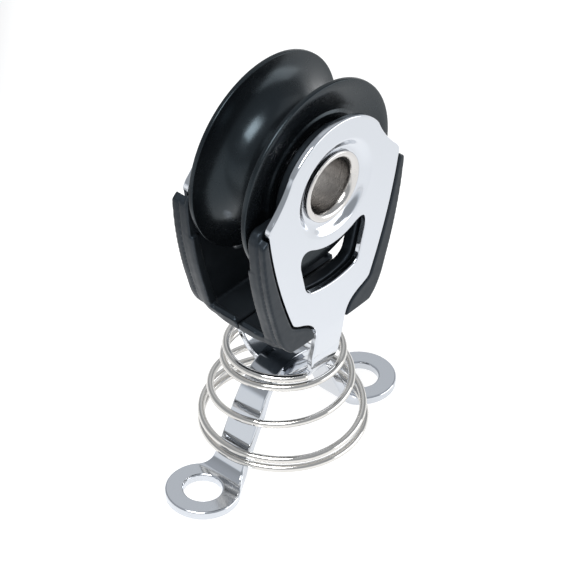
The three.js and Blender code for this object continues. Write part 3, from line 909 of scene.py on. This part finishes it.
def make_sheave():
    w = SHEAVE_HALF_WIDTH
    side = [
        (SHEAVE_BORE_RADIUS, w - 0.2, 0.1),
        (9.9, w - 0.2, 0.12),
        (10.3, w - 0.5, 0.12),
        (11.0, w - 0.5, 0.2),
        (14.0, w, 0.4),
        (SHEAVE_RADIUS, w, 0.28),
    ]
    groove = []
    steps = 44
    for k in range(steps + 1):
        a = math.pi * k / steps
        groove.append((SHEAVE_RADIUS - GROOVE_DEPTH * math.sin(a), GROOVE_HALF_WIDTH * math.cos(a), 0))
    groove[0] = (SHEAVE_RADIUS, GROOVE_HALF_WIDTH, 0.16)
    groove[-1] = (SHEAVE_RADIUS, -GROOVE_HALF_WIDTH, 0.16)
    far = [(r, -y, k) for r, y, k in reversed(side)]
    bore = track(SHEAVE_BORE_RADIUS, SHEAVE_TRACK_RADIUS, 0)
    vertices, faces = turned(rounded_profile(side + groove + far + bore), 220)
    new_piece("sheave_wheel", vertices, faces, ACETAL, "sheave", "sheave_acetal", ["sheave"])


def make_tube():
    """The axle tube; its rolled mouth is given as (radius, y, rounding) with y from the tube's end."""
    mouth = [
        (4.2, -1.6, 0),
        (4.2, -1.2, 0),
        (4.22, -0.9, 0),
        (4.3, -0.6, 0),
        (4.44, -0.34, 0),
        (4.66, -0.13, 0),
        (4.92, -0.02, 0),
        (5.1, 0, 0),
        (5.28, -0.03, 0),
        (5.4, -0.1, 0),
        (5.45, -0.2, 0),
        (5.43, -0.28, 0),
        (4.84, -0.3, 0.03),
        (4.8, -0.4, 0),
    ]
    far = [(r, TUBE_REACH - FAR_SET_IN + y, k) for r, y, k in mouth]
    near = [(r, -TUBE_REACH - y, k) for r, y, k in reversed(mouth)]
    vertices, faces = turned(rounded_profile(far + near), 140)
    new_piece("axle_tube_rolled", vertices, faces, TUBE, "block_head", "tube_steel", ["axle_tube"])


def make_race():
    far_end = RACE_REACH - FAR_SET_IN
    corners = [(RACE_BORE_RADIUS, -RACE_REACH, 0.12), (RACE_RADIUS, -RACE_REACH, 0.15)]
    corners += track(RACE_RADIUS, RACE_TRACK_RADIUS, 0.05)
    corners += [(RACE_RADIUS, far_end, 0.15), (RACE_BORE_RADIUS, far_end, 0.12)]
    vertices, faces = turned(rounded_profile(corners), 120)
    new_piece("inner_race_ring", vertices, faces, RACE, "block_head", "race_steel", ["inner_race"])


def make_retainers():
    inner, outer = RETAINER_RADII
    for name, sign in (("near", -1), ("far", 1)):
        inside, outside = (sign * place for place in RETAINER_SPAN)
        corners = [(inner, inside, 0.1), (outer, inside, 0.1)]
        corners += [(outer, outside, 0.15), (inner, outside, 0.15)]
        vertices, faces = turned(rounded_profile(corners), 120)
        piece = f"{name}_retainer_ring"
        node = f"{name}_ball_retainer"
        new_piece(piece, vertices, faces, MOULDING, "block_head", "black_moulding", [node])


def make_balls():
    bm = bmesh.new()
    bmesh.ops.create_icosphere(bm, subdivisions=3, radius=BALL_RADIUS * MM)
    for face in bm.faces:
        face.smooth = True
    mesh = bpy.data.meshes.new("bearing_ball")
    bm.to_mesh(mesh)
    bm.free()
    mesh.materials.append(BALL)
    for row in ("near", "far"):
        for number in range(1, BALLS_IN_ROW + 1):
            node = f"ball_{row}_{number:02d}"
            low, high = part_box(node)
            obj = bpy.data.objects.new(f"bearing_{node}", mesh)
            obj.location = (Vector(low) + Vector(high)) / 2
            bpy.context.scene.collection.objects.link(obj)
            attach(obj, "ball_train")
            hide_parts(node)


make_sheave()
make_tube()
make_race()
make_retainers()
make_balls()


# ---- cheeks ------------------------------------------------------------------------------------

def slab(flat, y, low, high, rounding):
    """A plate of the flat region between two Y planes, with rounded edges."""
    across = np.abs(y - (low + high) / 2) - (high - low) / 2
    a, b = flat + rounding, across + rounding
    outside = np.sqrt(np.maximum(a, 0) ** 2 + np.maximum(b, 0) ** 2)
    return np.minimum(np.maximum(a, b), 0) + outside - rounding


def join(a, b, fillet):
    """Both of two regions, with a fillet between them."""
    h = np.clip(0.5 + 0.5 * (b - a) / fillet, 0, 1)
    return b * (1 - h) + a * h - fillet * h * (1 - h)


def cut(a, b, rounding):
    """The first region without the second."""
    return -join(-a, b, rounding)


def make_cheek(name, node, floor, turned_round):
    """A cheek modelled on the -Y side; the far one is then turned half a turn about Z."""
    step = 0.2
    x = np.arange(-15.4, 15.41, step)
    y = np.arange(-9.2, 0.41, step)
    z = np.arange(25.0, 61.61, step)
    flat_x, flat_z = np.meshgrid(x, z, indexing="ij")

    def region(points):
        return outline_distance(resampled(points, 0.25), flat_x, flat_z)[:, None, :]

    radius = np.hypot(flat_x, flat_z - AXLE_HEIGHT)[:, None, :]
    tall = z[None, None, :]
    deep = y[None, :, None]
    # The lower corner's shape changes smoothly from the web out to the rim.
    outward = np.clip((-deep - CORNER_START) / (CHEEK_OUTER - CORNER_START), 0, 1)
    share = outward * outward * (3 - 2 * outward)
    outline = region(cheek_outline(WEB_CORNER)) * (1 - share) + region(cheek_outline(RIM_CORNER)) * share
    head = radius - CHEEK_HEAD_RADIUS
    pocket = region(mirrored(strap_outline(0.3).line(2.7, 10).points))
    window = region(window_outline(0.93))
    behind_plate = -CHEEK_INNER - CHEEK_LAP

    plate = slab(np.minimum(outline, head), deep, -floor, -CHEEK_INNER, 0.25)
    rim = slab(outline, deep, -CHEEK_OUTER, -CHEEK_INNER, 0.12)
    rim = cut(rim, slab(pocket, deep, -CHEEK_OUTER - 2, -floor, 0.1), 0.15)
    guard_wall = np.maximum(outline, -(outline + GUARD_WALL))
    guard_region = np.maximum(guard_wall, np.maximum(GUARD_BORE_RADIUS - radius, tall - GUARD_TOP))
    guard = slab(guard_region, deep, behind_plate, -GUARD_INNER, 0.2)
    web = slab(np.maximum(outline, tall - WEB_TOP), deep, behind_plate, -WEB_HALF_GAP, 0.2)
    ledge_region = np.maximum(np.maximum(outline + 0.4, -(outline + 1.0)), tall - LEDGE_TOP)
    ledge = slab(ledge_region, deep, behind_plate, -LEDGE_HALF_GAP, 0.2)
    # Each wing ends in a level top and a facet that slopes down at its outer corner.
    facet = (np.abs(flat_x)[:, None, :] - 13.6) * 0.62 + (tall - 49.0) * 0.78
    rim = cut(rim, -np.maximum(facet, tall - WING_TOP), 0.1)
    body = join(plate, rim, 0.1)
    body = join(body, guard, 0.2)
    body = join(body, join(web, ledge, 0.2), 0.35)
    body = cut(body, slab(window, deep, -CHEEK_OUTER - 1, -CHEEK_INNER + 1, 0.1), 0.2)
    body = cut(body, np.broadcast_to(radius - CHEEK_HOLE_RADIUS, body.shape), 0.15)
    crease = np.sqrt(outline ** 2 + (deep - CREASE_PLACE) ** 2) - CREASE_RADIUS
    body = cut(body, crease, 0.1)

    vertices, faces = skin(body, np.array([x[0], y[0], z[0]]), step)
    if turned_round:
        vertices = vertices * (-1, -1, 1)
    new_piece(name, vertices, faces, MOULDING, "block_head", "black_moulding", [node])


make_cheek("near_cheek_moulding", "near_cheek", CHEEK_FLOOR, False)
make_cheek("far_cheek_moulding", "far_cheek", CHEEK_FLOOR - FAR_SET_IN, True)


# ---- studio ------------------------------------------------------------------------------------

def make_floor():
    """A pale floor that glows softly, most below the object."""
    mesh = bpy.data.meshes.new("studio_floor")
    side = 3.0
    z = float(cad_low[2]) - 0.0001
    corners = [(-side, -side, z), (side, -side, z), (side, side, z), (-side, side, z)]
    mesh.from_pydata(corners, [], [(0, 1, 2, 3)])
    m = Material("studio_floor", (0.30, 0.30, 0.30), 0.9, specular=0.1)
    m.colour(m.noise(3), (0.298, 0.298, 0.298), (0.302, 0.302, 0.302))
    coords = m.node("ShaderNodeTexCoord")
    distance = m.node("ShaderNodeVectorMath", operation="LENGTH")
    m.link(coords.outputs["Object"], distance.inputs[0])
    glow = m.spread(distance.outputs["Value"], 0.87, 0.76, from_low=0.035, from_high=0.085)
    # A dimmer band lies off to one side, so that walls that reflect it look darker.
    across = m.node("ShaderNodeVectorMath", operation="DOT_PRODUCT")
    across.inputs[1].default_value = (0.655, -0.755, 0)
    m.link(coords.outputs["Object"], across.inputs[0])
    band = m.node("ShaderNodeValToRGB")
    m.link(m.spread(across.outputs["Value"], 0, 1, from_low=-0.15, from_high=0.0), band.inputs["Fac"])
    stops = band.color_ramp.elements
    stops[0].position, stops[0].color = 0.15, (1, 1, 1, 1)
    stops[1].position, stops[1].color = 0.72, (1, 1, 1, 1)
    for place in (0.27, 0.60):
        stops.new(place).color = (0.25, 0.25, 0.25, 1)
    m.link(band.outputs["Color"], m.shader.inputs["Emission Color"])
    m.link(glow, m.shader.inputs["Emission Strength"])
    mesh.materials.append(m.material)
    obj = bpy.data.objects.new("studio_floor", mesh)
    bpy.context.scene.collection.objects.link(obj)


def make_area(name, place, target, size, power):
    """A square or oblong light panel, in metres and watts, facing its target."""
    data = bpy.data.lights.new(name, "AREA")
    data.shape = "RECTANGLE"
    data.size, data.size_y = size
    data.energy = power
    obj = bpy.data.objects.new(name, data)
    obj.location = place
    obj.rotation_mode = "QUATERNION"
    direction = Vector(target) - Vector(place)
    obj.rotation_quaternion = direction.to_track_quat("-Z", "Y")
    bpy.context.scene.collection.objects.link(obj)


def make_world():
    """A dome that is white to just above the horizon and dim grey from there up."""
    world = bpy.data.worlds.new("studio")
    bpy.context.scene.world = world
    world.use_nodes = True
    tree = world.node_tree
    coords = tree.nodes.new("ShaderNodeTexCoord")
    split = tree.nodes.new("ShaderNodeSeparateXYZ")
    ramp = tree.nodes.new("ShaderNodeValToRGB")
    background = tree.nodes["Background"]
    tree.links.new(coords.outputs["Generated"], split.inputs["Vector"])
    tree.links.new(split.outputs["Z"], ramp.inputs["Fac"])
    tree.links.new(ramp.outputs["Color"], background.inputs["Color"])
    ramp.color_ramp.elements[0].position = 0.0
    ramp.color_ramp.elements[0].color = (1.05, 1.05, 1.05, 1)
    ramp.color_ramp.elements[1].position = 1.0
    ramp.color_ramp.elements[1].color = (0.50, 0.52, 0.55, 1)
    for height, level in ((0.08, 0.95), (0.20, 0.42), (0.45, 0.42)):
        stop = ramp.color_ramp.elements.new(height)
        stop.color = (level * 0.96, level, level * 1.04, 1)
    background.inputs["Strength"].default_value = 1.0


make_floor()
make_world()
make_area("key", (-0.41, -0.09, 0.80), (0, 0, 0.04), (0.46, 0.46), 9.0)
make_area("front", (0.50, -0.60, 0.16), (0, 0, 0.04), (0.7, 0.4), 2.2)
make_area("back", (0.46, 0.42, 0.62), (0, 0, 0.02), (0.6, 0.6), 0.3)
bpy.context.scene.view_settings.view_transform = "Standard"
